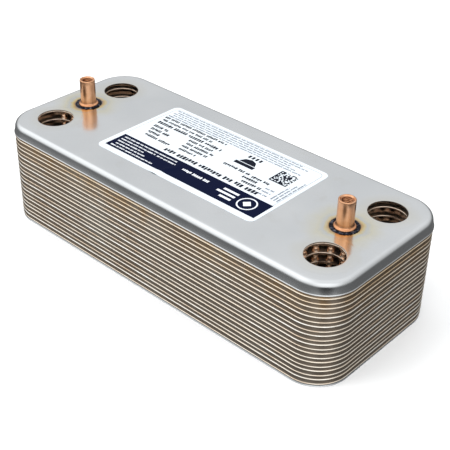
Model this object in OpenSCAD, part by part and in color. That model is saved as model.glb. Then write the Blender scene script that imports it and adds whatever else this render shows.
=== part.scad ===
// Brazed plate heat exchanger: a stack of pressed steel plates, each a shallow tray whose
// drafted skirt nests inside the one above, closed by a front and a back cover and brazed
// with copper. Four ports and two threaded weld studs are on the front cover.
// Millimetres. Origin at the bottom centre, +X along the length, +Z out of the front cover.

/* [Body] */

// Length over the front cover
body_length = 188.5; // [184:0.5:230]
// Width over the front cover
body_width = 77; // [74:1:100]
// Corner radius of the front cover's skirt, seen from the front
corner_radius = 15.5; // [12:0.5:18]
// Depth of the front cover, from its face to its lower lip
cover_depth = 4.65; // [4:0.05:6]
// Sheet of the two covers
cover_sheet = 0.8; // [0.6:0.1:1]
// Outside radius of the front cover's edge
cover_rounding = 2.5; // [2:0.1:3]
// How far the back cover's rim reaches below the last plate
rim_reach = 1.42; // [0.6:0.02:1.8]

/* [Plate pack] */

// Number of channel plates
plate_count = 20; // [4:2:40]
// Height that each plate adds to the stack
plate_pitch = 2.11; // [1.9:0.01:2.4]
// Sheet of a channel plate
plate_sheet = 0.4; // [0.3:0.05:0.45]
// Copper foil left between two plates where they touch
foil = 0.06; // [0.03:0.01:0.08]
// Extra skirt length on every second plate
skirt_alternation = 0.13; // [0:0.01:0.25]
// Length of one wave of the herringbone, along the plate
wave_length = 7.5; // [6:0.5:10]
// Slant of the herringbone ridges away from straight across
chevron_angle = 30; // [15:1:45]

/* [Ports] */

// Radius of the four ports
port_radius = 8.05; // [6:0.05:9]
// Port centres in from the ends of the body
port_from_end = 17.25; // [17.25:0.25:20]
// Port centres in from the long sides of the body
port_from_side = 18.5; // [18:0.5:20]

/* [Threaded studs] */

// Height of a stud above the front cover
stud_height = 12.3; // [8:0.1:16]
// Outside radius of a stud
stud_radius = 3.52; // [3.4:0.01:4]
// Radius of the tapped hole's core, here for an M5 thread
thread_core_radius = 2.1; // [1.65:0.05:2.1]
// Depth of the tapped hole
thread_depth = 9.5; // [5:0.5:9.5]
// Left stud's centre in from the left end
left_stud_from_end = 16.75; // [16.5:0.25:30]
// Right stud's centre in from the right end
right_stud_from_end = 23.25; // [16.5:0.25:30]

/* [Label] */

// Label length
label_length = 89.5; // [60:0.5:90]
// Label width
label_width = 50; // [30:1:50]
// Label thickness
label_sheet = 0.12; // [0.08:0.01:0.2]

/* [Hidden] */

$fn = 72;

steel = [0.78, 0.80, 0.82];
plate_steel = [0.66, 0.62, 0.58];
copper = [0.80, 0.48, 0.30];
stud_copper = [0.74, 0.46, 0.33];
weld_dark = [0.16, 0.17, 0.22];
label_white = [0.93, 0.94, 0.93];

// Skirts: a draft that lets equal trays nest one pitch apart with a fine gap between them.
skirt_gap = 0.03;
draft = asin((plate_sheet + skirt_gap) / plate_pitch);
plate_bend = 1.0 + plate_sheet;

// The cover's sheet is thicker than a plate's, and all of the difference is on the outside.
cover_proud = (cover_sheet - plate_sheet) / cos(draft);
stack_length = body_length - 2 * cover_proud;
stack_width = body_width - 2 * cover_proud;
stack_corner = corner_radius - cover_proud;

// Heights, from the bottom of the back cover's rim up.
body_height = cover_depth + plate_count * plate_pitch + rim_reach;
lip_z = body_height - cover_depth;
pack_top = body_height - cover_sheet - foil;

// How deep a plate is pressed, and how far its flat border lies below its ridges.
press_depth = plate_pitch - foil - plate_sheet;
border_depth = press_depth / 2;

// Width of the flat strip that each tray carries inside its bend, before its web starts.
border_strip = 1;

// The herringbone panel between the ports.
port_x = body_length / 2 - port_from_end;
port_y = body_width / 2 - port_from_side;
panel_half_length = port_x - 17;
panel_half_width = body_width / 2 - 7;
ramp_length = 3;
wave_flat = 1.2;

// Pressed seats around the ports, high on the -Y side and low on the +Y side, and the
// dimples on them, which meet tip to tip and hold an open port's seats apart.
seat_radius = 12;
seat_flank = 1.6;
dimple_ring = 10;
dimple_base = 1.7;
dimple_top = 1.0;
dimple_heading = 50;
dimple_angles = [-51, -17, 17, 51];

// Faint ring pressed into the front cover around each port.
cover_ring_in = 10.5;
cover_ring_out = 12.2;
cover_ring_depth = 0.15;

// Copper fillet under each skirt's edge.
fillet_reach = 0.55;
fillet_cover = 0.75;

stud_flange_radius = 4.5;
stud_flange = 0.9;
stud_chamfer = 0.35;
mouth_chamfer = 0.6;
bead_radius = 6.1;
bead_height = 0.7;

label_x = -0.7;
label_y = 1.5;
label_corner = 3;

slack = 0.01;
arc_steps = 5;

function two_digits(i) = str(i < 10 ? "0" : "", i);
function plate_name(i) = str("channel_plate_", two_digits(i));
function braze_name(i) = str("braze_copper_", two_digits(i));
function plate_top(i) = pack_top - (i - 1) * plate_pitch;
function plate_edge(i) = lip_z - i * plate_pitch;
function extra_skirt(i) = i % 2 == 0 ? skirt_alternation / 2 : -skirt_alternation / 2;

// ---------- outlines and rings ----------

// Points of an arc, from the first angle to the last.
function arc(centre, radius, first, last) = [
    for (k = [0 : arc_steps])
    let (a = first + (last - first) * k / arc_steps)
    centre + radius * [cos(a), sin(a)]
];

// Section of a tray's wall. Its outer face passes x = 0 at z = 0 and leans inwards by the
// draft, then bends over into a flat strip whose upper face is at the given height.
function tray_section(sheet, bend, height, foot) =
    let (
        cz = height - bend,
        cx = -(bend + cz * sin(draft)) / cos(draft),
        foot_x = -foot * tan(draft),
        inner_x = foot_x - sheet / cos(draft)
    )
    concat(
        [[foot_x, foot]],
        arc([cx, cz], bend, draft, 90),
        [[cx - border_strip, height], [cx - border_strip, height - sheet]],
        arc([cx, cz], bend - sheet, 90, draft),
        [[inner_x, foot]]
    );

// How far inside the nominal outline a tray's flat strip ends.
function web_inset(bend, height) =
    (bend + (height - bend) * sin(draft)) / cos(draft) + border_strip;

// Carries a wall section around a rounded rectangle: four straights and four quarter turns.
module around(length, width, corner, section) {
    for (side = [0, 1]) {
        rotate([0, 0, 180 * side]) {
            translate([length / 2, -(width / 2 - corner), 0])
                wall_run(width - 2 * corner, section);
            translate([length / 2 - corner, width / 2 - corner, 0])
                rotate_extrude(angle = 90)
                    translate([corner, 0])
                        polygon(section);
            rotate([0, 0, 90])
                translate([width / 2, -(length / 2 - corner), 0])
                    wall_run(length - 2 * corner, section);
            rotate([0, 0, 90])
                translate([width / 2 - corner, length / 2 - corner, 0])
                    rotate_extrude(angle = 90)
                        translate([corner, 0])
                            polygon(section);
        }
    }
}

// One straight stretch of wall, running along +Y from the origin.
module wall_run(run, section) {
    translate([0, run, 0])
        rotate([90, 0, 0])
            linear_extrude(height = run)
                polygon(section);
}

// A flat rounded rectangle from z = 0 up.
module rounded_slab(length, width, corner, height) {
    linear_extrude(height = height)
        union() {
            square([length - 2 * corner, width], center = true);
            square([length, width - 2 * corner], center = true);
            for (x = [-1, 1], y = [-1, 1])
                translate([x * (length / 2 - corner), y * (width / 2 - corner)])
                    circle(r = corner);
        }
}

module at_ports(rows) {
    for (x = [-1, 1], y = rows)
        translate([x * port_x, y * port_y, 0])
            children();
}

// The dimples of one row's seats, on the side that faces the middle of the plate.
module at_dimples(row) {
    for (x = [-1, 1], turn = dimple_angles)
        translate([x * port_x, row * port_y, 0])
            rotate([0, 0, x * row * (turn + dimple_heading)])
                translate([-x * dimple_ring, 0, 0])
                    children();
}

module port_holes(height) {
    at_ports([-1, 1])
        translate([0, 0, -height / 2])
            cylinder(h = height, r = port_radius);
}

// ---------- channel plates ----------

// The trapezoid wave of the herringbone, from crest (z = 0) to trough (z = -press_depth),
// closed at the given level.
module wave_outline(close_z) {
    across = wave_length * cos(chevron_angle);
    flank = across / 2 - wave_flat;
    waves = ceil((panel_half_length + panel_half_width) / across) + 1;
    crests = [
        for (n = [-waves : waves])
        let (x = n * across)
        each [
            [x - wave_flat / 2 - flank, -press_depth],
            [x - wave_flat / 2, 0],
            [x + wave_flat / 2, 0],
            [x + wave_flat / 2 + flank, -press_depth]
        ]
    ];
    polygon(concat(
        [[crests[0][0], close_z]],
        crests,
        [[crests[len(crests) - 1][0], close_z]]
    ));
}

// The wave carried along the slanted ridges of both halves of the herringbone.
module herringbone(close_z) {
    run = 4 * panel_half_width;
    for (side = [0, 1])
        mirror([0, side, 0])
            intersection() {
                rotate([0, 0, chevron_angle])
                    translate([0, run / 2, 0])
                        rotate([90, 0, 0])
                            linear_extrude(height = run)
                                wave_outline(close_z);
                translate([-panel_half_length - 1, 0, -10])
                    cube([2 * panel_half_length + 2, panel_half_width + 1, 20]);
            }
}

// Lets the wave grow out of the flat border over the ramp length, above the border (+1)
// or below it (-1).
module ramp_limit(way) {
    rise = ramp_length * 2;
    height = press_depth * 2;
    module ramp(half, run) {
        rotate([90, 0, 0])
            linear_extrude(height = run, center = true)
                polygon([
                    [-half, 0],
                    [half, 0],
                    [half - rise, way * height],
                    [-half + rise, way * height]
                ]);
    }
    translate([0, 0, -border_depth])
        intersection() {
            ramp(panel_half_length, 2 * panel_half_width + 2);
            rotate([0, 0, 90])
                ramp(panel_half_width, 2 * panel_half_length + 2);
        }
}

// Everything below a plate's upper surface, inside its border.
module below_surface(inset) {
    base = 6;
    difference() {
        union() {
            translate([0, 0, -base])
                rounded_slab(
                    stack_length - 2 * inset,
                    stack_width - 2 * inset,
                    stack_corner - inset,
                    base - border_depth
                );
            intersection() {
                herringbone(-base);
                ramp_limit(1);
            }
            at_ports([-1])
                translate([0, 0, -border_depth - slack])
                    cylinder(h = border_depth + slack, r1 = seat_radius + seat_flank, r2 = seat_radius);
        }
        intersection() {
            herringbone(1);
            ramp_limit(-1);
        }
        at_ports([1])
            translate([0, 0, -press_depth])
                cylinder(h = press_depth - border_depth, r1 = seat_radius, r2 = seat_radius + seat_flank);
        at_dimples(-1)
            translate([0, 0, -press_depth])
                cylinder(h = press_depth, r1 = dimple_top, r2 = dimple_base);
    }
    at_dimples(1)
        translate([0, 0, -press_depth])
            cylinder(h = press_depth, r1 = dimple_base, r2 = dimple_top);
}

// One pressed plate. Every second one is turned half round, which crosses the ridges and
// swaps the open and the closed ports.
module channel_plate(i) {
    height = plate_top(i) - border_depth - plate_edge(i);
    inset = web_inset(plate_bend, height);
    color(plate_steel)
        rotate([0, 0, i % 2 == 0 ? 180 : 0]) {
            translate([0, 0, plate_edge(i)])
                around(
                    stack_length, stack_width, stack_corner,
                    tray_section(plate_sheet, plate_bend, height, -extra_skirt(i))
                );
            translate([0, 0, plate_top(i)])
                difference() {
                    below_surface(inset);
                    translate([0, 0, -plate_sheet])
                        below_surface(inset);
                    port_holes(20);
                }
        }
}

// ---------- covers ----------

module front_cover() {
    inset = web_inset(cover_rounding, cover_depth);
    color(steel) {
        translate([0, 0, lip_z])
            around(
                body_length, body_width, corner_radius,
                tray_section(cover_sheet, cover_rounding, cover_depth, 0)
            );
        difference() {
            translate([0, 0, body_height - cover_sheet])
                rounded_slab(
                    body_length - 2 * inset, body_width - 2 * inset,
                    corner_radius - inset, cover_sheet
                );
            translate([0, 0, body_height])
                port_holes(6);
            at_ports([-1, 1])
                translate([0, 0, body_height - cover_ring_depth])
                    difference() {
                        cylinder(h = 1, r = cover_ring_out);
                        cylinder(h = 3, r = cover_ring_in, center = true);
                    }
        }
    }
}

// The back cover nests inside the last plate, and its rim is what the body stands on.
module back_cover() {
    web_top = plate_top(plate_count + 1);
    nominal_edge = plate_edge(plate_count + 1);
    height = web_top - nominal_edge;
    inset = web_inset(cover_rounding, height);
    color(steel) {
        translate([0, 0, nominal_edge])
            around(
                stack_length, stack_width, stack_corner,
                tray_section(cover_sheet, cover_rounding, height, -nominal_edge)
            );
        translate([0, 0, web_top - cover_sheet])
            rounded_slab(
                stack_length - 2 * inset, stack_width - 2 * inset,
                stack_corner - inset, cover_sheet
            );
    }
}

// ---------- copper ----------

// The braze between two trays: the fillet under the upper skirt's edge, and a washer of
// foil on each of the two port seats that the joint closes. Number 0 is under the front
// cover, and the last one is on the back cover.
module braze_copper(i) {
    edge = i == 0 ? 0 : -extra_skirt(i);
    sheet = i == 0 ? cover_sheet : plate_sheet;
    proud = i == 0 ? cover_proud : 0;
    top = edge;
    face = plate_pitch * tan(draft);
    reach = i == 0 ? fillet_cover : fillet_reach;
    out = proud - top * tan(draft) - 0.3 * sheet;
    closed_row = i % 2 == 0 ? -1 : 1;
    color(copper) {
        translate([0, 0, lip_z - i * plate_pitch])
            around(stack_length, stack_width, stack_corner, [
                [-face - top * tan(draft), top],
                [-face - (top - reach) * tan(draft), top - reach],
                [out, top]
            ]);
        at_ports([closed_row])
            translate([0, 0, plate_top(i + 1)])
                difference() {
                    cylinder(h = foil, r = seat_radius);
                    cylinder(h = 3 * foil, r = port_radius, center = true);
                }
    }
}

// ---------- studs and label ----------

module threaded_stud(x) {
    color(stud_copper)
        translate([x, 0, body_height])
            difference() {
                union() {
                    cylinder(h = stud_flange, r1 = stud_flange_radius, r2 = stud_flange_radius - 0.3);
                    cylinder(h = stud_height - stud_chamfer, r = stud_radius);
                    translate([0, 0, stud_height - stud_chamfer])
                        cylinder(h = stud_chamfer, r1 = stud_radius, r2 = stud_radius - stud_chamfer);
                }
                translate([0, 0, stud_height - thread_depth])
                    cylinder(h = thread_depth + 1, r = thread_core_radius);
                translate([0, 0, stud_height - thread_depth - thread_core_radius / tan(59)])
                    cylinder(h = thread_core_radius / tan(59) + slack, r1 = 0, r2 = thread_core_radius);
                translate([0, 0, stud_height - mouth_chamfer])
                    cylinder(
                        h = mouth_chamfer + slack,
                        r1 = thread_core_radius,
                        r2 = thread_core_radius + mouth_chamfer
                    );
            }
}

// The ring of fused metal around a stud's flange.
module weld_bead(x) {
    inner = stud_flange_radius;
    mid = (inner + bead_radius) / 2;
    color(weld_dark)
        translate([x, 0, body_height])
            rotate_extrude()
                polygon([
                    [inner, 0],
                    [inner, bead_height * 0.6],
                    [mid - 0.2, bead_height],
                    [mid + 0.3, bead_height * 0.8],
                    [bead_radius - 0.15, bead_height * 0.25],
                    [bead_radius, 0]
                ]);
}

module rating_label() {
    color(label_white)
        translate([label_x, label_y, body_height])
            rounded_slab(label_length, label_width, label_corner, label_sheet);
}

// ---------- the assembly ----------

front_cover();
back_cover();
for (i = [1 : plate_count])
    channel_plate(i);
for (i = [0 : plate_count])
    braze_copper(i);
threaded_stud(left_stud_from_end - body_length / 2);  // threaded_stud_left
threaded_stud(body_length / 2 - right_stud_from_end);  // threaded_stud_right
weld_bead(left_stud_from_end - body_length / 2);  // weld_bead_left
weld_bead(body_length / 2 - right_stud_from_end);  // weld_bead_right
rating_label();
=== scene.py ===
import math
import random

import bpy
import numpy as np
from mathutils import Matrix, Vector, noise
from mathutils.geometry import delaunay_2d_cdt


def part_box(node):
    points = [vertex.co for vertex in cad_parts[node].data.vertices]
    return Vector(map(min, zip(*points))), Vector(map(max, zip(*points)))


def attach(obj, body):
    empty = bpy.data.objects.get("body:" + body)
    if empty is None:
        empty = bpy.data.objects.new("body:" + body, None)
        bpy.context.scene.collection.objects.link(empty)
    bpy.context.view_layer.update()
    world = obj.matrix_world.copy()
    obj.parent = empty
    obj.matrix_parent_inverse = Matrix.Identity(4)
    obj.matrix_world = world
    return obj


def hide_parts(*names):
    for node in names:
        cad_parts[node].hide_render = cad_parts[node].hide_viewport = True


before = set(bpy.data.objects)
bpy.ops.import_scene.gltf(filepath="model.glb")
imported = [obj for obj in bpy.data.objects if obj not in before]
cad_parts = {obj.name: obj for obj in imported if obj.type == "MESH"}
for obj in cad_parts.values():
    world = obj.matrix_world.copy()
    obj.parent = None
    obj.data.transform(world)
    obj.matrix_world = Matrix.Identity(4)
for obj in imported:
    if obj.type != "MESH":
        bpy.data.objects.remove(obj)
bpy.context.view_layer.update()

# Sizes below are in millimetres, in the CAD frame; meshes are scaled by MM when they are made.
MM = 0.001


# ---------- places taken from the frame ----------

def box_mm(node):
    """A CAD node's box: its lowest and highest corner, in millimetres."""
    low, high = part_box(node)
    return [c / MM for c in low], [c / MM for c in high]


cover_low, cover_high = box_mm("front_cover")
LENGTH = cover_high[0] - cover_low[0]
WIDTH = cover_high[1] - cover_low[1]
FACE_Z = cover_high[2]
LIP_Z = cover_low[2]
PLATES = sorted(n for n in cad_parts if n.startswith("channel_plate_"))
BRAZES = sorted(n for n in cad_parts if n.startswith("braze_copper_"))

# Sizes that the CAD model and this model share.
CORNER = 15.5
COVER_SHEET = 0.8
COVER_ROUNDING = 2.5
SHEET = 0.4
BEND = 1.4
FOIL = 0.06
PITCH = 2.11
PRESS = PITCH - FOIL - SHEET
PORT_X, PORT_Y, PORT_R = LENGTH / 2 - 17.25, WIDTH / 2 - 18.5, 8.05
SEAT_R, SEAT_FLANK = 12.0, 1.6
DIMPLE_RING, DIMPLE_BASE, DIMPLE_TOP = 10.0, 1.7, 1.0
DIMPLE_TURNS = (-51, -17, 17, 51)
WAVE = 7.5
CHEVRON = math.radians(30)
PANEL_X, PANEL_Y, RAMP = PORT_X - 17, WIDTH / 2 - 7, 3.0
# The gap between the walls of two nested trays sets how far the walls lean out.
NEST_GAP = 0.03
SIN_DRAFT = (SHEET + NEST_GAP) / PITCH
COS_DRAFT = math.sqrt(1 - SIN_DRAFT ** 2)
TAN_DRAFT = SIN_DRAFT / COS_DRAFT
PACK_TOP = FACE_Z - COVER_SHEET - FOIL
STUD_TOP = box_mm("threaded_stud_left")[1][2]
STUDS = {}
for end in ("left", "right"):
    stud_low, stud_high = box_mm(f"threaded_stud_{end}")
    STUDS[end] = ((stud_low[0] + stud_high[0]) / 2, 0.0)

# Outlines of the trays: length, width and corner radius.
PROUD = (COVER_SHEET - SHEET) / COS_DRAFT
COVER = (LENGTH, WIDTH, CORNER)
STACK = (LENGTH - 2 * PROUD, WIDTH - 2 * PROUD, CORNER - PROUD)

# Detail that only this model has. A port's seat is narrow on the side away from the plate's
# middle, beyond NARROW degrees either way from its open side, and part of that is fluted.
NARROW, NARROW_EASE, NARROW_SEAT_R = 72, 14, 10.1
FLUTED, FLUTE_EASE, FLUTES = (-172, -76), 12, 17
FLUTE_DEPTH, FLUTE_RISE, FLUTE_END_R = 0.42, 0.45, 15.0
LIP_STEPS = 5
LIP_ROWS = LIP_STEPS + 3
# How far the cover's sheared edge hangs over the first plate's skirt.
COVER_OVERLAP = 0.45
COVER_GROOVE_R = 12.0
QUARTERS = [(sx, sy) for sx in (-1, 1) for sy in (-1, 1)]


# ---------- mesh helpers ----------

def new_piece(name, verts, faces, materials, face_materials=None, sharp_angle=40):
    """A mesh object from millimetre points, smooth shaded apart from its sharp edges."""
    mesh = bpy.data.meshes.new(name)
    mesh.from_pydata((np.asarray(verts, dtype=float) * MM).tolist(), [], [list(f) for f in faces])
    for material in materials:
        mesh.materials.append(material)
    if face_materials is not None:
        mesh.polygons.foreach_set("material_index", np.asarray(face_materials, dtype=np.int32))
    mesh.polygons.foreach_set("use_smooth", [True] * len(mesh.polygons))
    mesh.validate()
    mesh.set_sharp_from_angle(angle=math.radians(sharp_angle))
    piece = bpy.data.objects.new(name, mesh)
    bpy.context.scene.collection.objects.link(piece)
    return piece


def finish_piece(piece, slot, *nodes):
    """Ties a piece to the part's one body, and hides the CAD nodes that it stands for."""
    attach(piece, "root")
    if nodes:
        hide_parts(*nodes)


def outline(length, width, corner, step=3.0, arc_steps=18):
    """Points on a rounded rectangle, anticlockwise, and their outward normals."""
    points, normals = [], []
    mx, my = length / 2 - corner, width / 2 - corner
    corners = ((mx, my, 0), (-mx, my, 90), (-mx, -my, 180), (mx, -my, 270))
    for (cx, cy, start), run in zip(corners, (2 * mx, 2 * my) * 2):
        for k in range(arc_steps + 1):
            a = math.radians(start + 90 * k / arc_steps)
            normals.append((math.cos(a), math.sin(a)))
            points.append((cx + corner * math.cos(a), cy + corner * math.sin(a)))
        out = normals[-1]
        x, y = points[-1]
        count = int(run / step)
        for k in range(1, count):
            d = run * k / count
            normals.append(out)
            points.append((x - out[1] * d, y + out[0] * d))
    return np.array(points), np.array(normals)


def tray_section(bend, height, foot, strip=1.0, steps=8):
    """Outer face of a tray's wall, from its foot up over the bend: (offset, height) pairs."""
    bend_z = height - bend
    bend_x = -(bend + bend_z * SIN_DRAFT) / COS_DRAFT
    draft = math.asin(SIN_DRAFT)
    rows = [(-foot * TAN_DRAFT, foot)]
    for k in range(steps + 1):
        a = draft + (math.pi / 2 - draft) * k / steps
        rows.append((bend_x + bend * math.cos(a), bend_z + bend * math.sin(a)))
    rows.append((bend_x - strip, height))
    return rows


def lip(rows, flare, tall):
    """Flares a wall's foot outwards into a lip with a rounded, sheared edge."""
    x, z = rows[0]
    edge, break_edge, hook = 0.12, 0.03, 1.8
    curve = [(x + flare - edge, z), (x + flare - break_edge, z + break_edge)]
    for k in range(LIP_STEPS + 1):
        t = k / LIP_STEPS
        rise = edge + (tall - edge) * t
        curve.append((x - rise * TAN_DRAFT * t + flare * (1 - t) ** hook, z + rise))
    return curve + rows[1:]


def triangulate(boundary, holes, inner):
    """Delaunay triangles over a convex outline with round holes: points and faces. The
    outline's own points come first."""
    merge_within, least_area, hole_share = 1e-5, 1e-6, 0.995
    loops = [boundary] + holes
    points, edges = [], []
    for loop in loops:
        first = len(points)
        points.extend(map(tuple, loop))
        edges.extend((first + k, first + (k + 1) % len(loop)) for k in range(len(loop)))
    points.extend(map(tuple, inner))
    vectors = [Vector(p) for p in points]
    found, _, faces, _, _, _ = delaunay_2d_cdt(vectors, edges, [], 0, merge_within)
    found = np.array([tuple(v) for v in found])
    faces = np.array([list(f) for f in faces])
    centre = found[faces].mean(axis=1)
    keep = np.ones(len(faces), dtype=bool)
    for hole in holes:
        middle = np.mean(hole, axis=0)
        radius = np.linalg.norm(hole[0] - middle)
        keep &= np.linalg.norm(centre - middle, axis=1) > radius * hole_share
    a, b, c = found[faces[:, 0]], found[faces[:, 1]], found[faces[:, 2]]
    area = (b[:, 0] - a[:, 0]) * (c[:, 1] - a[:, 1]) - (b[:, 1] - a[:, 1]) * (c[:, 0] - a[:, 0])
    keep &= np.abs(area) > least_area
    faces[area < 0] = faces[area < 0][:, ::-1]
    return found, faces[keep]


def ring_points(centre, radius, count):
    """Points evenly around a circle."""
    a = np.arange(count) * 2 * math.pi / count
    return np.stack([centre[0] + radius * np.cos(a), centre[1] + radius * np.sin(a)], axis=1)


def grid_points(xs, ys):
    """Every point with one of the given x and one of the given y."""
    x, y = np.meshgrid(xs, ys)
    return np.stack([x.ravel(), y.ravel()], axis=1)


def keep_inside(points, shape, margin):
    """The points that lie inside a rounded rectangle by at least the margin."""
    length, width, corner = shape
    qx = np.abs(points[:, 0]) - (length / 2 - corner)
    qy = np.abs(points[:, 1]) - (width / 2 - corner)
    reach = np.hypot(np.maximum(qx, 0), np.maximum(qy, 0)) + np.minimum(np.maximum(qx, qy), 0)
    return points[reach < corner - margin]


def stacked_faces(rings, count):
    """Faces between closed rings of points, one above the other."""
    faces = []
    for row in range(rings - 1):
        for k in range(count):
            a, b = row * count + k, row * count + (k + 1) % count
            faces.append((a, b, b + count, a + count))
    return faces


def hoop_faces(start, around, count):
    """Faces of a closed section of count points, swept around a closed path."""
    faces = []
    for k in range(around):
        a, b = start + k * count, start + (k + 1) % around * count
        for j in range(count):
            i = (j + 1) % count
            faces.append((a + j, a + i, b + i, b + j))
    return faces


def thicken(verts, faces, sheet):
    """A closed sheet from its upper surface: points and faces, the upper surface's first.
    The underside follows the mean normal of the faces around each point."""
    tiny = 1e-12
    verts = np.asarray(verts, dtype=float)
    normal = np.zeros_like(verts)
    for size in (3, 4):
        group = np.array([f for f in faces if len(f) == size])
        if not len(group):
            continue
        p = verts[group]
        n = np.cross(p[:, 1] - p[:, 0], p[:, 2] - p[:, 0])
        if size == 4:
            n = n + np.cross(p[:, 2] - p[:, 0], p[:, 3] - p[:, 0])
        n /= np.maximum(np.linalg.norm(n, axis=1, keepdims=True), tiny)
        for k in range(size):
            np.add.at(normal, group[:, k], n)
    normal /= np.maximum(np.linalg.norm(normal, axis=1, keepdims=True), tiny)
    count = len(verts)
    below = verts - normal * sheet
    edges = dict.fromkeys((f[k - 1], f[k]) for f in faces for k in range(len(f)))
    rim = [(b, a, a + count, b + count) for a, b in edges if (b, a) not in edges]
    under = [tuple(v + count for v in reversed(f)) for f in faces]
    return np.vstack([verts, below]), list(map(tuple, faces)) + under + rim


def smooth_step(t):
    """Eases from 0 to 1 as t goes from 0 to 1, and stays there outside."""
    t = np.clip(t, 0, 1)
    return t * t * (3 - 2 * t)


def drift_along(points, scale, seed):
    """A smooth random value at each point, the same on each run."""
    return np.array([noise.noise(Vector((x * scale, y * scale, seed))) for x, y in points])


def build_tray(shape, rows, web, web_height, base_z, sheet, seed=0.0, wander=0.0):
    """A tray: its wall carried around the outline and joined to its web. The wall's foot
    wanders a little, as a pressed edge does."""
    p, n = outline(*shape)
    count = len(p)
    drift = drift_along(p, 0.03, seed) * wander
    fine = drift_along(p, 0.25, seed + 9) * wander * 0.35
    inward, fade_rows = 0.6, 7
    verts = []
    for row, (offset, z) in enumerate(rows):
        fade = max(0.0, 1 - row / fade_rows)
        ring = p + n * (offset + inward * fade * np.minimum(drift, 0))[:, None]
        verts.extend((x, y, base_z + z + rise) for (x, y), rise in zip(ring, (drift + fine) * fade))
    faces = stacked_faces(len(rows), count)
    found, tris = web
    first = (len(rows) - 1) * count
    index = np.zeros(len(found), dtype=int)
    index[:count] = first + np.arange(count)
    index[count:] = len(verts) + np.arange(len(found) - count)
    heights = web_height(found[count:, 0], found[count:, 1])
    top = base_z + rows[-1][1]
    verts.extend((x, y, top + h) for (x, y), h in zip(found[count:], heights))
    faces.extend(tuple(index[f]) for f in tris)
    verts, faces = thicken(verts, faces, sheet)
    inner = len(verts) // 2
    for row in range(LIP_ROWS):
        # Behind the lip the inner face stays plain.
        z = rows[row][1]
        ring = slice(inner + row * count, inner + (row + 1) * count)
        verts[ring, :2] = p - n * (z * TAN_DRAFT + sheet / COS_DRAFT)
        verts[ring, 2] = base_z + z
    return verts, faces


# ---------- materials ----------

def map_range(tree, value, limits, kind="LINEAR"):
    """Carries a value from one range to another, limits being both ranges' ends in turn."""
    node = tree.nodes.new("ShaderNodeMapRange")
    node.interpolation_type = kind
    for socket, number in zip(("From Min", "From Max", "To Min", "To Max"), limits):
        node.inputs[socket].default_value = number
    tree.links.new(value, node.inputs["Value"])
    return node.outputs["Result"]


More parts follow.
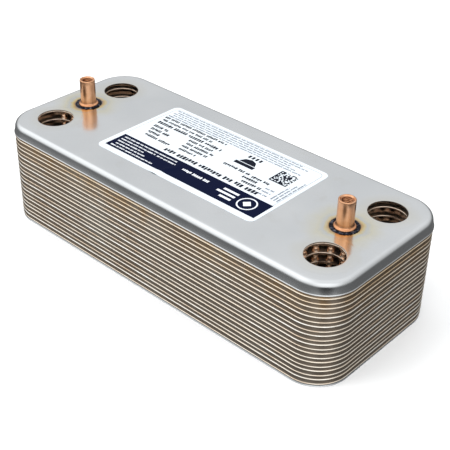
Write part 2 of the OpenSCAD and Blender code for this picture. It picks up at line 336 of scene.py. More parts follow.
class Nodes:
    """A short way to write a procedural material."""

    def __init__(self, name):
        self.material = bpy.data.materials.new(name)
        self.material.use_nodes = True
        self.tree = self.material.node_tree
        self.shader = self.tree.nodes["Principled BSDF"]
        self.coords = self.add("ShaderNodeTexCoord").outputs["Object"]

    def add(self, kind, **values):
        node = self.tree.nodes.new(kind)
        for key, value in values.items():
            setattr(node, key, value)
        return node

    def link(self, source, target):
        self.tree.links.new(source, target)

    def feed(self, socket, value):
        """Sets a number or a colour on a socket, or links another node's output to it."""
        if isinstance(value, (int, float)):
            socket.default_value = value
        elif isinstance(value, tuple):
            socket.default_value = (*value, 1.0)
        else:
            self.link(value, socket)

    def scaled(self, x, y, z):
        node = self.add("ShaderNodeMapping")
        node.inputs["Scale"].default_value = (x, y, z)
        self.link(self.coords, node.inputs["Vector"])
        return node.outputs["Vector"]

    def noise(self, scale, detail, vector=None, rough=0.55):
        node = self.add("ShaderNodeTexNoise")
        node.inputs["Scale"].default_value = scale
        node.inputs["Detail"].default_value = detail
        node.inputs["Roughness"].default_value = rough
        self.link(vector or self.coords, node.inputs["Vector"])
        return node.outputs["Fac"]

    def math(self, operation, a, b=0.0):
        node = self.add("ShaderNodeMath", operation=operation)
        self.feed(node.inputs[0], a)
        self.feed(node.inputs[1], b)
        return node.outputs[0]

    def spread(self, value, low, high, to_low=0.0, to_high=1.0):
        return map_range(self.tree, value, (low, high, to_low, to_high))

    def ramp(self, value, stops):
        node = self.add("ShaderNodeValToRGB")
        elements = node.color_ramp.elements
        while len(elements) < len(stops):
            elements.new(0.5)
        for element, (place, colour) in zip(elements, stops):
            element.position = place
            element.color = (*colour, 1.0)
        self.link(value, node.inputs["Fac"])
        return node.outputs["Color"]

    def mix(self, factor, a, b):
        node = self.add("ShaderNodeMix", data_type="RGBA")
        factor_in, colour_a, colour_b, colour_out = 0, 6, 7, 2
        self.feed(node.inputs[factor_in], factor)
        self.feed(node.inputs[colour_a], a)
        self.feed(node.inputs[colour_b], b)
        return node.outputs[colour_out]

    def split(self):
        node = self.add("ShaderNodeSeparateXYZ")
        self.link(self.coords, node.inputs[0])
        return node.outputs

    def distance(self, x, y):
        """Distance in millimetres from a vertical axis, given in millimetres."""
        node = self.add("ShaderNodeMapping")
        node.inputs["Location"].default_value = (-x, -y, 0)
        node.inputs["Scale"].default_value = (1 / MM, 1 / MM, 0)
        self.link(self.coords, node.inputs["Vector"])
        length = self.add("ShaderNodeVectorMath", operation="LENGTH")
        self.link(node.outputs["Vector"], length.inputs[0])
        return length.outputs["Value"]

    def port_distance(self):
        """Distance in millimetres from the nearest port's axis."""
        x, y, _ = self.split()
        dx = self.math("SUBTRACT", self.math("ABSOLUTE", x), PORT_X * MM)
        dy = self.math("SUBTRACT", self.math("ABSOLUTE", y), PORT_Y * MM)
        square = self.math("ADD", self.math("MULTIPLY", dx, dx), self.math("MULTIPLY", dy, dy))
        return self.math("MULTIPLY", self.math("SQRT", square), 1 / MM)

    def facing_up(self):
        """How level the surface is: 1 where it lies flat, 0 where it stands upright."""
        parts = self.add("ShaderNodeSeparateXYZ")
        self.link(self.add("ShaderNodeNewGeometry").outputs["Normal"], parts.inputs[0])
        return self.math("ABSOLUTE", parts.outputs["Z"])

    def bump(self, height, strength, distance):
        node = self.add("ShaderNodeBump")
        node.inputs["Strength"].default_value = strength
        node.inputs["Distance"].default_value = distance
        self.link(height, node.inputs["Height"])
        self.link(node.outputs["Normal"], self.shader.inputs["Normal"])

    def surface(self, colour, roughness, metallic=1.0):
        self.feed(self.shader.inputs["Base Color"], colour)
        self.feed(self.shader.inputs["Roughness"], roughness)
        self.feed(self.shader.inputs["Metallic"], metallic)
        return self.material


def cover_steel():
    """Dull rolled steel with heat tints around the welds and ports; painted shade on its steep faces,
    which are also rougher where it was drawn; a painted dark edge in the port holes.
    """
    m = Nodes("cover_steel")
    cloud = m.noise(22, 3)
    stain = m.noise(70, 5, rough=0.65)
    steel = m.ramp(cloud, [(0.3, (0.66, 0.675, 0.69)), (0.7, (0.74, 0.75, 0.76))])
    steel = m.mix(m.spread(stain, 0.60, 0.78, 0.0, 0.35), steel, (0.60, 0.58, 0.55))
    wander = m.math("MULTIPLY", m.math("SUBTRACT", m.noise(110, 5), 0.5), 7.5)
    for x, y in STUDS.values():
        far = m.distance(x, y)
        reach = m.math("ADD", far, m.math("MULTIPLY", wander, m.spread(far, 5.8, 9.0, 0.25, 1.0)))
        tint = m.ramp(m.spread(reach, 4.0, 19.0), [
            (0.0, (0.06, 0.06, 0.09)),
            (0.13, (0.12, 0.10, 0.12)),
            (0.165, (0.56, 0.34, 0.11)),
            (0.22, (0.68, 0.55, 0.28)),
            (0.30, (0.58, 0.59, 0.58)),
            (0.43, (0.69, 0.65, 0.50)),
            (1.0, (0.72, 0.73, 0.73)),
        ])
        fade = m.math("MAXIMUM", m.spread(cloud, 0.36, 0.60, 0.75, 1.0), m.spread(far, 6.2, 7.5, 1.0, 0.0))
        fade = m.math("MULTIPLY", fade, m.spread(reach, 9.0, 18.0, 1.0, 0.0))
        steel = m.mix(fade, steel, tint)
    port = m.port_distance()
    # Painted shade: the cut edges of the port holes are given a dark brown colour.
    steel = m.mix(m.spread(port, 7.95, 8.25, 1.0, 0.0), steel, (0.30, 0.21, 0.16))
    halo = m.spread(m.math("ADD", port, wander), 8.5, 13.5, 0.35, 0.0)
    steel = m.mix(halo, steel, (0.66, 0.63, 0.54))
    # Steep faces: rougher where the sheet was drawn, and given a darker colour, which is painted shade.
    drawn = m.spread(m.facing_up(), 0.60, 0.98, 1.0, 0.0)
    steel = m.mix(m.math("MULTIPLY", drawn, 0.4), steel, (0.52, 0.53, 0.53))
    brushed = m.noise(900, 2, m.scaled(0.03, 1, 1))
    rough = m.math("ADD", m.spread(cloud, 0.3, 0.7, 0.11, 0.16), m.spread(stain, 0.5, 0.8, 0.0, 0.08))
    rough = m.math("ADD", rough, m.math("MULTIPLY", drawn, 0.09))
    m.bump(m.math("ADD", m.noise(28, 2), m.math("MULTIPLY", brushed, 0.04)), 0.12, 0.0006)
    return m.surface(steel, rough)


def plate_steel():
    """Brazed sheet: browned outside, coppery on the flanks that a port's channel shows."""
    m = Nodes("plate_steel")
    _, _, z = m.split()
    patch = m.noise(45, 4, rough=0.6)
    streak = m.noise(180, 4, m.scaled(1, 1, 0.25))
    steel = m.ramp(patch, [
        (0.30, (0.28, 0.22, 0.17)),
        (0.55, (0.37, 0.31, 0.25)),
        (0.75, (0.46, 0.42, 0.36)),
    ])
    high_up = m.spread(z, 0.028, 0.044, 0.1, 0.9)
    warm = m.math("MULTIPLY", high_up, m.spread(streak, 0.35, 0.65, 0.2, 1.0))
    steel = m.mix(warm, steel, (0.38, 0.23, 0.10))
    port = m.port_distance()
    inner = m.ramp(streak, [(0.3, (0.60, 0.50, 0.42)), (0.7, (0.78, 0.70, 0.62))])
    steel = m.mix(m.spread(port, 13.6, 15.4, 1.0, 0.0), steel, inner)
    slope = m.spread(m.facing_up(), 0.55, 0.93, 1.0, 0.12)
    copper = m.math("MULTIPLY", m.spread(port, 11.4, 12.0, 1.0, 0.0), slope)
    steel = m.mix(copper, steel, (0.86, 0.57, 0.38))
    steel = m.mix(m.spread(port, 8.3, 8.6, 1.0, 0.0), steel, (0.90, 0.76, 0.64))
    rough = m.spread(patch, 0.3, 0.7, 0.38, 0.26)
    m.bump(m.noise(240, 3), 0.25, 0.0002)
    return m.surface(steel, rough)


def edge_metal(name, bright, dull, worn):
    """The bright lip of a plate: sheared steel or copper that has run over it."""
    m = Nodes(name)
    patch = m.noise(120, 4, m.scaled(1, 1, 3), rough=0.65)
    long_patch = m.noise(28, 3)
    colour = m.mix(m.spread(patch, 0.40, 0.66), bright, dull)
    colour = m.mix(m.spread(long_patch, 0.50, 0.62, 0.0, 0.8), colour, worn)
    _, _, z = m.split()
    high_up = m.spread(z, 0.030, 0.0435, 0.0, 0.75)
    warm = m.math("MULTIPLY", high_up, m.spread(long_patch, 0.38, 0.6, 1.0, 0.25))
    colour = m.mix(warm, colour, (0.70, 0.50, 0.26))
    m.bump(m.noise(500, 3), 0.3, 0.0001)
    return m.surface(colour, m.spread(patch, 0.3, 0.7, 0.24, 0.42))


def copper_braze():
    """Copper that has run and set, dull in patches and bright on its rims in the ports."""
    m = Nodes("braze_copper")
    patch = m.noise(150, 5, rough=0.65)
    colour = m.ramp(patch, [
        (0.28, (0.24, 0.14, 0.08)),
        (0.52, (0.48, 0.29, 0.17)),
        (0.74, (0.76, 0.53, 0.37)),
    ])
    colour = m.mix(m.spread(m.port_distance(), 8.1, 8.5, 0.9, 0.0), colour, (0.90, 0.74, 0.60))
    m.bump(m.noise(420, 4), 0.4, 0.0002)
    return m.surface(colour, m.spread(patch, 0.3, 0.7, 0.45, 0.28))


def stud_copper():
    """Copper plating with drawn lines up the stud, redder at its foot, with painted shade in its bore."""
    m = Nodes("stud_copper")
    drawn = m.noise(700, 3, m.scaled(1, 1, 0.04))
    patch = m.noise(260, 4)
    colour = m.ramp(patch, [
        (0.30, (0.74, 0.38, 0.20)),
        (0.60, (0.87, 0.49, 0.29)),
        (0.80, (0.92, 0.58, 0.39)),
    ])
    _, _, z = m.split()
    low = m.spread(z, (FACE_Z + 1.0) * MM, (FACE_Z + 3.0) * MM, 0.45, 0.0)
    colour = m.mix(low, colour, (0.70, 0.30, 0.13))
    colour = m.mix(m.spread(drawn, 0.35, 0.6, 0.6, 0.0), colour, (0.55, 0.23, 0.10))
    # Painted shade: everything inside the bore's radius, thread included, is darkened.
    reach = m.math("MINIMUM", *(m.distance(x, y) for x, y in STUDS.values()))
    colour = m.mix(m.spread(reach, 2.52, 2.62, 0.85, 0.0), colour, (0.32, 0.13, 0.06))
    m.bump(drawn, 0.5, 0.0001)
    return m.surface(colour, m.spread(drawn, 0.3, 0.7, 0.24, 0.36))


def weld_metal():
    """Black scale with bright specks of metal."""
    m = Nodes("weld_metal")
    lump = m.noise(520, 5, rough=0.7)
    colour = m.ramp(lump, [
        (0.36, (0.004, 0.004, 0.008)),
        (0.52, (0.012, 0.014, 0.024)),
        (0.60, (0.09, 0.09, 0.12)),
        (0.68, (0.58, 0.52, 0.48)),
    ])
    m.bump(m.noise(1500, 4), 0.6, 0.0002)
    return m.surface(colour, m.spread(lump, 0.3, 0.7, 0.50, 0.25), 0.85)


def label_stock():
    """Satin film with a fine tooth."""
    m = Nodes("label_stock")
    tooth = m.noise(1400, 3)
    colour = m.ramp(m.noise(30, 3), [(0.3, (0.68, 0.73, 0.77)), (0.7, (0.74, 0.785, 0.82))])
    m.shader.inputs["Specular IOR Level"].default_value = 0.3
    m.bump(tooth, 0.12, 0.0001)
    return m.surface(colour, m.spread(tooth, 0.3, 0.7, 0.30, 0.42), 0.0)


def ink(name, dark, light, rough):
    """Printing ink, a little uneven."""
    m = Nodes(name)
    speck = m.noise(2600, 3)
    m.bump(m.noise(60, 2), 0.1, 0.0002)
    m.shader.inputs["Specular IOR Level"].default_value = 0.02
    colour = m.ramp(speck, [(0.35, dark), (0.7, light)])
    return m.surface(colour, m.spread(speck, 0.3, 0.7, rough, rough + 0.1), 0.0)


def floor_material():
    m = Nodes("studio_floor")
    m.bump(m.noise(60, 3), 0.02, 0.0005)
    pale = m.ramp(m.noise(3, 2), [(0.3, (0.94, 0.94, 0.94)), (0.7, (0.96, 0.96, 0.96))])
    return m.surface(pale, 0.9, 0.0)


COVER_STEEL = cover_steel()
PLATE_STEEL = plate_steel()
EDGE_STEEL = edge_metal("edge_steel", (0.93, 0.90, 0.84), (0.82, 0.74, 0.64), (0.84, 0.72, 0.57))
EDGE_COPPER = edge_metal("edge_copper", (0.90, 0.80, 0.67), (0.78, 0.60, 0.44), (0.88, 0.82, 0.72))
BRAZE = copper_braze()
STUD = stud_copper()
WELD = weld_metal()
LABEL = label_stock()
INK_NAVY = ink("ink_navy", (0.003, 0.005, 0.022), (0.004, 0.007, 0.028), 0.4)
INK_DARK = ink("ink_dark", (0.006, 0.007, 0.014), (0.014, 0.016, 0.026), 0.4)
INK_GREY = ink("ink_grey", (0.13, 0.15, 0.19), (0.20, 0.22, 0.27), 0.4)
INK_WHITE = ink("ink_white", (0.72, 0.75, 0.78), (0.82, 0.84, 0.86), 0.35)


# ---------- front cover ----------

def port_loops(radii):
    """Rings of points around the four ports, each port's own in turn for each radius."""
    return [ring_points((sx * PORT_X, sy * PORT_Y), r, 96) for r in radii for sx, sy in QUARTERS]


def port_reach(x, y):
    """Distance from the nearest port's axis."""
    return np.hypot(np.abs(x) - PORT_X, np.abs(y) - PORT_Y)


def make_web(shape, inset, holes, inner, margin):
    """The triangles of a tray's floor, from the inner end of its wall's section inwards."""
    p, n = outline(*shape)
    length, width, corner = shape
    floor_shape = (length - 2 * inset, width - 2 * inset, corner - inset)
    return triangulate(p - n * inset, holes, keep_inside(inner, floor_shape, margin))


def front_cover():
    flare = 0.14
    rows = tray_section(COVER_ROUNDING, FACE_Z - LIP_Z, -COVER_OVERLAP, strip=1.5, steps=12)
    rows[0] = (0.0, -COVER_OVERLAP)
    rows = lip([(x - flare, z) for x, z in rows], flare, 0.45)
    around_edge = (8.12, 8.22, 8.4, 9.4, 10.8)
    around_groove = (11.3, 11.6, 11.8, COVER_GROOVE_R, 12.2, 12.4, 12.7, 13.1)
    grid = grid_points(np.arange(-90, 91, 6.0), np.arange(-33, 34, 6.0))
    grid = grid[port_reach(grid[:, 0], grid[:, 1]) > 13.5]
    inner = np.vstack(port_loops(around_edge + around_groove) + [grid])
    web = make_web(COVER, -rows[-1][0], port_loops([PORT_R]), inner, 0.25)

    def height(x, y):
        """The ports' edges are rolled in, on shallow seats with a faint groove around them."""
        d = port_reach(x, y)
        rolled = -0.05 * np.clip((PORT_R + 0.25 - d) / 0.25, 0, 1) ** 2
        groove = -0.016 * np.exp(-((d - COVER_GROOVE_R) / 0.5) ** 2)
        seat = -0.025 * smooth_step((COVER_GROOVE_R + 1.0 - d) / 2.2)
        return rolled + groove + seat

    verts, faces = build_tray(COVER, rows, web, height, LIP_Z, COVER_SHEET)
    cover = new_piece("front_cover_tray", verts, faces, [COVER_STEEL])
    finish_piece(cover, "cover_steel", "front_cover")


# ---------- channel plates ----------

def seat_heading(sx, sy):
    """The turn, in degrees from the plate's length, of the middle of a port's open side."""
    return 69 if sx == sy else 50


def dimple_centres(sx, sy):
    """The dimples of one port's seat, on the side that faces the middle of the plate."""
    places = []
    for turn in DIMPLE_TURNS:
        a = math.radians(seat_heading(sx, sy) + turn)
        x, y = PORT_X - DIMPLE_RING * math.cos(a), PORT_Y - DIMPLE_RING * math.sin(a)
        places.append((sx * x, sy * y))
    return places


def plate_relief(x, y):
    """Height of a plate's upper surface above its border, with its high seats on the -Y side."""
    half = PRESS / 2
    along = x * math.cos(CHEVRON) + np.abs(y) * math.sin(CHEVRON)
    wave = 1.25 * np.cos(2 * math.pi * along / (WAVE * math.cos(CHEVRON)))
    edge = np.minimum(PANEL_X - np.abs(x), PANEL_Y - np.abs(y))
    z = half * np.clip(wave, -1, 1) * smooth_step(edge / RAMP)
    # A dimple's rounded shoulders take it a little past the cone's two radii.
    base, top, deep = DIMPLE_BASE + 0.05, DIMPLE_TOP * 1.15, PRESS * 0.98
    for sx, sy in QUARTERS:
        side = 1 if sy < 0 else -1
        dx, dy = sx * PORT_X - x, sy * PORT_Y - y
        d = np.hypot(dx, dy)
        turn = np.degrees(np.arctan2(dy * sy, dx * sx)) - seat_heading(sx, sy)
        turn = (turn + 180) % 360 - 180
        narrow = smooth_step((np.abs(turn) - NARROW) / NARROW_EASE)
        begin, stop = (turn - FLUTED[0]) / FLUTE_EASE, (FLUTED[1] - turn) / FLUTE_EASE
        flutes = smooth_step(begin) * smooth_step(stop) * np.cos(np.radians(turn * FLUTES))
        radius = SEAT_R + narrow * (NARROW_SEAT_R - SEAT_R) + FLUTE_DEPTH * flutes
        seat = smooth_step((radius + SEAT_FLANK - d) / SEAT_FLANK)
        z = np.where(d < radius + SEAT_FLANK, side * half * seat, z)
        z = z + FLUTE_RISE * flutes * smooth_step((FLUTE_END_R - d) / 1.5) * (1 - seat)
        for px, py in dimple_centres(sx, sy):
            rise = smooth_step((base - np.hypot(x - px, y - py)) / (base - top))
            z = z - side * deep * rise
    return z


def plate_web(inset):
    rings = np.vstack(port_loops((8.3, 8.9, 9.5, 10.0, 10.4, 10.8, 11.2, 11.6, 12.0, 12.4, 12.8,
                                  13.2, 13.6, 14.1, 14.8)))
    dimples = [centre for sx, sy in QUARTERS for centre in dimple_centres(sx, sy)]
    for centre in dimples:
        rings = rings[np.hypot(*(rings - centre).T) > 2.25]
    radii = (0.6, 1.1, 1.25, 1.4, 1.55, 1.75, 2.0)
    spots = np.vstack([ring_points(centre, r, 20) for centre in dimples for r in radii])
    spots = spots[port_reach(spots[:, 0], spots[:, 1]) > PORT_R + 0.12]
    panel = grid_points(np.linspace(-PANEL_X, PANEL_X, 97), np.linspace(-PANEL_Y, PANEL_Y, 37))
    return make_web(STACK, inset, port_loops([PORT_R]), np.vstack([rings, spots, panel]), 0.3)


def channel_plates():
    """The plates, from the front cover backwards."""
    height = (PACK_TOP - PRESS / 2) - (LIP_Z - PITCH)
    web = plate_web(-tray_section(BEND, height, 0)[-1][0])
    lip_faces = LIP_STEPS * len(outline(*STACK)[0])
    for index, node in enumerate(PLATES):
        # Every second plate is the same pressing, turned half way around, with a shorter lip.
        foot = box_mm(node)[0][2]
        base = LIP_Z - (index + 1) * PITCH
        rows = tray_section(BEND, height, foot - base)
        if index % 2 == 0:
            turn, flare, tall, edge = 1, 0.22, 0.52, EDGE_STEEL
        else:
            turn, flare, tall, edge = -1, 0.17, 0.44, EDGE_COPPER

        def relief(x, y):
            return plate_relief(x * turn, y * turn)

        rows = lip(rows, flare, tall)
        verts, faces = build_tray(STACK, rows, web, relief, base, SHEET, index * 3.7, 0.05)
        kinds = np.zeros(len(faces), dtype=int)
        kinds[:lip_faces] = 1
        piece = new_piece(f"plate_{index + 1:02d}", verts, faces, [PLATE_STEEL, edge], kinds)
        finish_piece(piece, "plate_steel", node)


# ---------- back cover ----------

def back_cover():
    """A plain tray around the last plate. Its foot is the part's base."""
    nominal = LIP_Z - (len(PLATES) + 1) * PITCH
    web_top = PACK_TOP - len(PLATES) * PITCH
    rows = tray_section(COVER_ROUNDING, web_top - nominal, -nominal, strip=1.5)
    rows = lip(rows, 0.16, 0.6)
    grid = grid_points(np.linspace(-80, 80, 65), np.linspace(-26, 26, 27))
    web = make_web(STACK, -rows[-1][0], [], grid, 0.5)

    def height(x, y):
        """Two long stiffening beads, pressed away from the plates."""
        deep, bead_y, bead_wide, half_run = 0.9, 14, 2.2, 62
        across = np.exp(-((np.abs(y) - bead_y) / bead_wide) ** 2)
        return -deep * across * smooth_step((half_run - np.abs(x)) / 6)

    verts, faces = build_tray(STACK, rows, web, height, nominal, COVER_SHEET)
    piece = new_piece("back_cover_tray", verts, faces, [COVER_STEEL])
    finish_piece(piece, "cover_steel", "back_cover")


# ---------- copper ----------

def braze_joint(index, node):
    """Copper that has run along one joint: a fillet around the stack, uneven like solder,
    and a washer on each of the two port seats that the joint closes."""
    p, n = outline(*STACK, step=1.5, arc_steps=24)
    first = index == 0
    # Under the front cover there is room for a fuller fillet than between two plates.
    full_reach, most_reach, full_out = (0.42, 0.75, 0.26) if first else (0.30, 0.55, 0.15)
    sunk = 0.02
    base = LIP_Z - index * PITCH
    edge = (LIP_Z if first else box_mm(PLATES[index - 1])[0][2]) - base
    face = -PITCH * TAN_DRAFT
    verts = []
    for (x, y), (nx, ny) in zip(p, n):
        swell = noise.noise(Vector((x * 0.22, y * 0.22, index * 5.3)))
        swell += 0.6 * noise.noise(Vector((x * 0.9, y * 0.9, index * 7.1)))
        reach = min(full_reach * max(0.15, 1 + 1.3 * swell), most_reach)
        out = full_out * max(0.2, 1 + swell)
        section = (
            (face - edge * TAN_DRAFT - sunk, edge),
            (face - (edge - reach) * TAN_DRAFT - sunk, edge - reach),
            (face - (edge - reach * 0.6) * TAN_DRAFT + out * 0.45, edge - reach * 0.55),
            (face - edge * TAN_DRAFT + out + 0.05, edge),
        )
        verts.extend((x + nx * offset, y + ny * offset, base + z) for offset, z in section)
    faces = hoop_faces(0, len(p), len(section))
    row = -1 if index % 2 == 0 else 1
    low = PACK_TOP - index * PITCH
    for sx in (-1, 1):
        points, quads = washer((sx * PORT_X, row * PORT_Y), low, index + sx, len(verts))
        verts.extend(points)
        faces.extend(quads)
    piece = new_piece(f"braze_{index + 1:02d}", verts, faces, [BRAZE], sharp_angle=60)
    finish_piece(piece, "braze_copper", node)


def washer(centre, low, seed, start):
    """A flat ring of foil whose inner edge has beaded over the edges of the two sheets."""
    steps, climb, shoulder = 64, 0.26, 0.14
    high = low + FOIL
    outside = SEAT_R - 0.2
    verts = []
    for k in range(steps):
        a = 2 * math.pi * k / steps
        bead = 0.14 + 0.10 * noise.noise(Vector((math.cos(a) * 3, math.sin(a) * 3, seed * 3.1)))
        section = (
            (PORT_R - bead * 0.75, low - shoulder),
            (PORT_R - bead * 0.2, low - climb),
            (PORT_R, low - climb),
            (PORT_R, low),
            (outside, low),
            (outside, high),
            (PORT_R, high),
            (PORT_R, high + climb),
            (PORT_R - bead * 0.2, high + climb),
            (PORT_R - bead * 0.75, high + shoulder),
            (PORT_R - bead, (low + high) / 2),
        )
        for r, z in section:
            verts.append((centre[0] + r * math.cos(a), centre[1] + r * math.sin(a), z))
    return verts, hoop_faces(start, steps, len(section))


# ---------- studs ----------

def threaded_stud(side):
    """A weld stud: flanged foot, plain outside, M5 thread inside with a drilled end."""
    x0, y0 = STUDS[side]
    top, drawn_top = STUD_TOP - FACE_Z, 12.3
    # Radius and height, from the foot up and over the rounded rim, for a stud of drawn_top.
    profile = [
        (4.50, 0.0), (4.50, 0.30), (4.42, 0.52), (4.24, 0.66), (3.95, 0.76), (3.72, 0.92), (3.58, 1.25),
        (3.52, 1.8), (3.52, 4.0), (3.52, 7.0), (3.52, 10.0), (3.52, 11.9), (3.47, 12.12), (3.36, 12.24),
        (3.22, 12.3), (3.00, 12.3), (2.90, 12.25), (2.72, 11.95), (2.56, 11.72),
    ]
    pitch, core_r, crest_r = 0.8, 2.1, 2.5
    mouth, depth, drill_tip = 0.6, 9.5, 1.2
    steps, rows_per_turn = 64, 6
    rows = int((depth - mouth) / pitch * rows_per_turn)
    turns = np.arange(steps) / steps
    circle = np.stack([np.cos(2 * math.pi * turns), np.sin(2 * math.pi * turns)], axis=1)
    rings = [np.column_stack([circle * r, np.full(steps, z * top / drawn_top)]) for r, z in profile]
    for row in range(rows):
        z = top - mouth - row * (depth - mouth) / (rows - 1)
        fade = min(1.0, (row + 1) / 5, (rows - 1 - row) / 8 + 0.001)
        tooth = np.abs(2 * ((z / pitch - turns) % 1) - 1)
        r = core_r + (crest_r - core_r) * np.clip(1.25 * tooth - 0.1, 0, 1) * fade
        rings.append(np.column_stack([circle * r[:, None], np.full(steps, z)]))
    faces = stacked_faces(len(rings), steps)
    last, tip = (len(rings) - 1) * steps, len(rings) * steps
    foot = tip + 1
    for k in range(steps):
        j = (k + 1) % steps
        faces.append((last + k, last + j, tip))
        faces.append((j, k, foot))
    ends = [(0, 0, top - depth - drill_tip), (0, 0, 0)]
    verts = np.vstack(rings + [ends]) + (x0, y0, FACE_Z)
    piece = new_piece(f"weld_stud_{side}", verts, faces, [STUD], sharp_angle=50)
    finish_piece(piece, "stud_copper", f"threaded_stud_{side}")


def weld_bead(side):
    """The lumpy ring of fused metal around a stud's flange."""
    x0, y0 = STUDS[side]
    around, across = 168, 14
    middle_r, half_wide, most_r, tall = 5.25, 0.82, 6.08, 0.52
    seed = 4.0 if side == "left" else 11.0
    verts = []
    for k in range(around):
        a = 2 * math.pi * k / around
        swell = noise.noise(Vector((math.cos(a) * 1.6, math.sin(a) * 1.6, seed)))
        for j in range(across + 1):
            t = math.pi * j / across
            r = middle_r - (half_wide + 0.1 * swell) * math.cos(t)
            z = tall * math.sin(t) * (1 + 0.5 * swell)
            px, py = r * math.cos(a), r * math.sin(a)
            lump = noise.noise(Vector((px * 1.7, py * 1.7, z * 2 + seed)))
            grit = noise.noise(Vector((px * 5, py * 5, seed)))
            z = max(0.0, z + (0.26 * lump + 0.22 * grit) * math.sin(t))
            r = min(r + (0.30 * lump + 0.20 * grit) * math.sin(t), most_r)
            verts.append((x0 + r * math.cos(a), y0 + r * math.sin(a), FACE_Z + z))
    faces = hoop_faces(0, around, across + 1)
    piece = new_piece(f"weld_ring_{side}", verts, faces, [WELD], sharp_angle=70)
    finish_piece(piece, "weld_metal", f"weld_bead_{side}")


# ---------- label ----------

LABEL_LOW, LABEL_HIGH = box_mm("rating_label")
LABEL_SHEET = LABEL_HIGH[2] - LABEL_LOW[2]
FILM = (LABEL_HIGH[0] - LABEL_LOW[0], LABEL_HIGH[1] - LABEL_LOW[1], 3.0)
# The print is laid out on a drawing of the label: its lowest corner, then its size.
LAYOUT_LOW, LAYOUT = (-45.5, -21.5), (89.0, 48.0)
BAND_TOP = -7
INK_THICK, INK_GAP = 0.016, 0.003
CREASE_X, CREASE_TALL, CREASE_WIDE, CREASE_SLANT = -5.7, 0.24, 1.8, 0.35


def film_z(x, y):
    """Height of the film's top: a low crease crosses it near its -Y edge."""
    x, y = np.asarray(x, dtype=float), np.asarray(y, dtype=float)
    near = smooth_step((-5.0 - y) / 12)
    off = x - CREASE_X - CREASE_SLANT * (y + 12)
    return LABEL_HIGH[2] + CREASE_TALL * near * np.exp(-(off / CREASE_WIDE) ** 2)


def label_film():
    """The label's film, with a finer grid where the crease is."""
    length, width, _ = FILM
    cx, cy = LABEL_LOW[0] + length / 2, LABEL_LOW[1] + width / 2
    edge, _ = outline(*FILM, step=1.0, arc_steps=10)
    fine = CREASE_X - cx + np.arange(-8, 6, 0.5)
    before = np.arange(-length / 2 + 2, fine[0], 3.0)
    after = np.arange(fine[-1] + 2, length / 2, 3.0)
    grid = grid_points(np.concatenate([before, fine, after]), np.arange(-width / 2 + 1, width / 2, 1.0))
    found, tris = triangulate(edge, [], keep_inside(grid, FILM, 0.3))
    x, y = found[:, 0] + cx, found[:, 1] + cy
    top = np.stack([x, y, film_z(x, y)], axis=1)
    verts, faces = thicken(top, [tuple(f) for f in tris], LABEL_SHEET)
    # The underside lies straight below the top.
    verts[len(top):] = top - (0, 0, LABEL_SHEET)
    piece = new_piece("label_film", verts, faces, [LABEL])
    finish_piece(piece, "label_film", "rating_label")


class Print:
    """Flat printed shapes on the label, all in one ink, each a thin closed block. They are
    laid out on a drawing of the label, LAYOUT millimetres in size, and fitted to the film."""

    def __init__(self, name, material, layer=1):
        self.name, self.material, self.layer = name, material, layer
        self.verts, self.faces = [], []

    def add(self, x, y, lift):
        """One point, given on the drawing, at a height above the layer's underside."""
        x = LABEL_LOW[0] + (x - LAYOUT_LOW[0]) * FILM[0] / LAYOUT[0]
        y = LABEL_LOW[1] + (y - LAYOUT_LOW[1]) * FILM[1] / LAYOUT[1]
        under = float(film_z(x, y)) + INK_GAP + INK_THICK * (self.layer - 1)
        self.verts.append((x, y, under + lift))

    def block(self, corners):
        """A thin block over any outline, given anticlockwise."""
        start, count = len(self.verts), len(corners)
        for lift in (0, INK_THICK):
            for x, y in corners:
                self.add(x, y, lift)
        self.faces.append(tuple(start + count + k for k in range(count)))
        self.faces.append(tuple(start + k for k in reversed(range(count))))
        for k in range(count):
            j = (k + 1) % count
            self.faces.append((start + k, start + j, start + count + j, start + count + k))

    def bar(self, x0, y0, x1, y1):
        self.block([(x0, y0), (x1, y0), (x1, y1), (x0, y1)])

    def patch(self, x0, y0, x1, y1):
        """A large bar, cut into a grid so that it follows the film."""
        cell = 0.5
        nx, ny = int((x1 - x0) / cell), int((y1 - y0) / cell)
        start = len(self.verts)
        for lift in (0, INK_THICK):
            for j in range(ny + 1):
                for i in range(nx + 1):
                    self.add(x0 + (x1 - x0) * i / nx, y0 + (y1 - y0) * j / ny, lift)
        layer = (nx + 1) * (ny + 1)
        for j in range(ny):
            for i in range(nx):
                a = start + j * (nx + 1) + i
                quad = (a, a + 1, a + nx + 2, a + nx + 1)
                self.faces.append(tuple(v + layer for v in quad))
                self.faces.append(tuple(reversed(quad)))
        rim = [start + i for i in range(nx)]
        rim += [start + nx + j * (nx + 1) for j in range(ny)]
        rim += [start + ny * (nx + 1) + i for i in range(nx, 0, -1)]
        rim += [start + j * (nx + 1) for j in range(ny, 0, -1)]
        for k, a in enumerate(rim):
            b = rim[(k + 1) % len(rim)]
            self.faces.append((a, b, b + layer, a + layer))

    def words(self, x0, x1, y, size, seed, upright=False):
        """A line of print that says nothing: small blocks in word-like groups."""
        draw = random.Random(seed)
        at = x0
        while at < x1:
            for _ in range(draw.randint(3, 8)):
                wide = size * draw.uniform(0.40, 0.62)
                if at + wide > x1:
                    break
                foot = size * draw.choice([0.0, 0.0, 0.0, 0.2])
                tall = size * draw.choice([1.0, 1.0, 0.85, 0.9])
                if upright:
                    self.bar(y - tall, at, y - foot, at + wide)
                else:
                    self.bar(at, y + foot, at + wide, y + tall)
                at += wide + size * 0.16
            at += size * 0.5

    def ring(self, centre, radius, wide, sides=36):
        """A band around a circle."""
        inner = ring_points(centre, radius - wide, sides)
        outer = ring_points(centre, radius, sides)
        for k in range(sides):
            j = (k + 1) % sides
            self.block([inner[k], outer[k], outer[j], inner[j]])

    def make(self):
        piece = new_piece(self.name, self.verts, self.faces, [self.material])
        finish_piece(piece, "label_film")


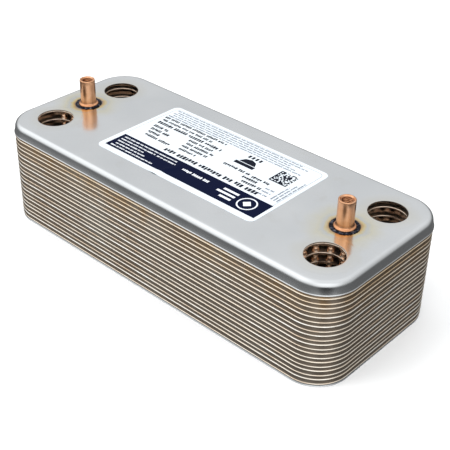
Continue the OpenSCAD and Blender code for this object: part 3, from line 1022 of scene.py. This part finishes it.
def label_band():
    """The dark band along the label's -Y edge, with white print and a plain badge on it."""
    band = Print("label_band", INK_NAVY)
    band.patch(-43, -18.5, 42, BAND_TOP)
    band.make()
    white = Print("label_band_print", INK_WHITE, layer=2)
    for k, (x0, x1) in enumerate([(-41, -9), (-41, -20), (-41, -25), (-40, -22), (-41, -15)]):
        white.words(x0, x1, -9.3 - 2.0 * k, 0.8, 40 + k)
    white.words(-19, -8, -11.3, 0.8, 46)
    white.words(-3.5, 12, -12.0, 1.5, 47)
    x, y, reach = 33.5, -12.8, 2.1
    white.ring((x, y), 4.3, 0.6)
    white.block([(x - reach, y), (x, y - reach), (x + reach, y), (x, y + reach)])
    for k, start in enumerate((21.0, 17.5, 19.0)):
        white.bar(start, -15.9 + 2.5 * k, 27.0, -14.7 + 2.5 * k)
    white.make()


def label_dark_print():
    """Lines that say nothing, a plain pictogram and a block of random squares."""
    dark = Print("label_print_dark", INK_DARK)
    dark.words(-21, 33, -5.6, 2.4, 1)
    for k, (x0, x1) in enumerate([(-37, -22), (-38, -30), (-39, -27), (-40, -31)]):
        dark.words(x0, x1, -1.8 + 2.7 * k, 1.7, 10 + k)
    for k, (x0, x1) in enumerate([(-17, -7), (-18, -3), (-18, -2), (-19, -5)]):
        dark.words(x0, x1, -0.8 + 2.6 * k, 1.5, 20 + k)
    for x0, x1, y, size, seed in (
        (-41, -2, 9.7, 1.9, 30),
        (-41, -10, 12.6, 1.5, 31),
        (-42, -4, 15.2, 1.5, 32),
        (5, 20, 3.4, 1.6, 33),
        (21, 31, 3.0, 1.6, 36),
        (18, 27, 0.6, 1.6, 34),
        (20, 31, -2.0, 1.6, 35),
    ):
        dark.words(x0, x1, y, size, seed)
    dark.bar(7.0, 7.6, 17.5, 9.6)
    dark.block([(8.2, 10.0), (16.8, 10.0), (15.4, 12.6), (12.5, 13.6), (9.6, 12.6)])
    for k in range(4):
        dark.bar(9.0 + 2.0 * k, 14.2, 10.2 + 2.0 * k, 16.2)
    draw = random.Random(77)
    cells, fill = 14, 0.6
    cell = 9.0 / cells
    for i in range(cells):
        for j in range(cells):
            if i == 0 or j == 0 or draw.random() < fill:
                x, y = 27.0 + cell * i, 6.8 + cell * j
                dark.bar(x, y, x + cell, y + cell)
    dark.make()


def label_grey_print():
    """Fine lines that say nothing, and a thin frame line above the band."""
    grey = Print("label_print_grey", INK_GREY)
    for k in range(5):
        grey.words(-42 + 1.5 * (k % 2), 35 - 4 * (k % 3), 17.4 + 1.5 * k, 0.8, 50 + k)
    for k in range(3):
        grey.words(-4, 14 - 3 * k, 41.2 - 1.5 * k, 0.85, 60 + k, upright=True)
    for k in range(3):
        grey.words(31, 36, -4.2 + 2.3 * k, 1.0, 70 + k)
    line, margin = 0.14, 1.8
    p, n = outline(LAYOUT[0] - 2 * margin, LAYOUT[1] - 2 * margin, 2.4, step=2.0, arc_steps=6)
    p = p + (LAYOUT_LOW[0] + LAYOUT[0] / 2, LAYOUT_LOW[1] + LAYOUT[1] / 2)
    for k in range(len(p)):
        j = (k + 1) % len(p)
        quad = [p[k] - n[k] * line, p[k], p[j], p[j] - n[j] * line]
        if min(y for _, y in quad) > BAND_TOP:
            grey.block(quad)
    grey.make()


# ---------- studio ----------

# Broad lights and dark screens around the table: direction, the angles at which each starts
# and ends to fade (degrees from its middle), and how much it adds or keeps.
SOFT_BOXES = (
    ((0.60, -0.52, 0.50), 0, 48, 0.60),
    ((-0.62, -0.50, 0.62), 0, 52, 0.58),
)
DARK_CARDS = (
    ((0.73, -0.66, -0.17), 7, 25, 0.12),
    ((0.75, 0.62, -0.10), 24, 60, 0.85),
)


def studio_floor():
    """A wide pale floor, which metal doesn't mirror."""
    half = 15
    corners = [(-half, -half, 0), (half, -half, 0), (half, half, 0), (-half, half, 0)]
    mesh = bpy.data.meshes.new("studio_floor")
    mesh.from_pydata(corners, [], [(0, 1, 2, 3)])
    mesh.materials.append(floor_material())
    floor = bpy.data.objects.new("studio_floor", mesh)
    bpy.context.scene.collection.objects.link(floor)
    floor.visible_glossy = False


def studio_world():
    """Light from all around, by direction: brighter upwards, then the boxes and the cards."""
    world = bpy.data.worlds.new("studio")
    bpy.context.scene.world = world
    world.use_nodes = True
    tree = world.node_tree
    background = tree.nodes["Background"]
    coords = tree.nodes.new("ShaderNodeTexCoord")

    def spread(value, *limits):
        return map_range(tree, value, limits, "SMOOTHSTEP")

    def toward(direction):
        node = tree.nodes.new("ShaderNodeVectorMath")
        node.operation = "DOT_PRODUCT"
        node.inputs[1].default_value = Vector(direction).normalized()
        tree.links.new(coords.outputs["Generated"], node.inputs[0])
        return node.outputs["Value"]

    def combine(operation, a, b):
        node = tree.nodes.new("ShaderNodeMath")
        node.operation = operation
        tree.links.new(a, node.inputs[0])
        tree.links.new(b, node.inputs[1])
        return node.outputs[0]

    height = toward((0, 0, 1))
    walls = spread(height, -0.06, 0.40, 0.18, 0.82)
    level = combine("ADD", walls, spread(height, 0.35, 1.0, 0.0, 0.25))
    for operation, away, panels in (("ADD", 0.0, SOFT_BOXES), ("MULTIPLY", 1.0, DARK_CARDS)):
        for direction, inner, outer, amount in panels:
            edge, core = math.cos(math.radians(outer)), math.cos(math.radians(inner))
            level = combine(operation, level, spread(toward(direction), edge, core, away, amount))
    tree.links.new(level, background.inputs["Strength"])
    background.inputs["Color"].default_value = (0.975, 0.99, 1.0, 1.0)


def area_light(name, place, size, power):
    """A round lamp aimed at the object's middle. Metal doesn't mirror it, only the studio."""
    data = bpy.data.lights.new(name, "AREA")
    data.shape = "DISK"
    data.size = size
    data.energy = power
    lamp = bpy.data.objects.new(name, data)
    lamp.location = place
    lamp.visible_glossy = False
    direction = Vector((0, 0, 0.03)) - Vector(place)
    lamp.rotation_mode = "QUATERNION"
    lamp.rotation_quaternion = direction.to_track_quat("-Z", "Y")
    bpy.context.scene.collection.objects.link(lamp)


def camera():
    """The photograph's viewpoint, solved from the body's outline and its ports."""
    data = bpy.data.cameras.new("camera")
    data.sensor_width = 36
    data.lens = 77.52
    data.clip_start, data.clip_end = 0.01, 20
    view = bpy.data.objects.new("camera", data)
    view.location = Vector((243.27, -259.53, 251.53)) * MM
    tilt, roll, pan = 56.495, -1.018, 42.668
    view.rotation_euler = (math.radians(tilt), math.radians(roll), math.radians(pan))
    bpy.context.scene.collection.objects.link(view)
    bpy.context.scene.camera = view


# ---------- the object ----------

camera()
studio_floor()
studio_world()
area_light("key_light", (-0.45, -0.55, 0.85), 0.7, 5)
area_light("fill_light", (0.9, 0.25, 0.7), 0.8, 4)
bpy.context.scene.view_settings.view_transform = "Standard"
front_cover()
channel_plates()
back_cover()
for number, joint in enumerate(BRAZES):
    braze_joint(number, joint)
for stud_side in STUDS:
    threaded_stud(stud_side)
    weld_bead(stud_side)
label_film()
label_band()
label_dark_print()
label_grey_print()
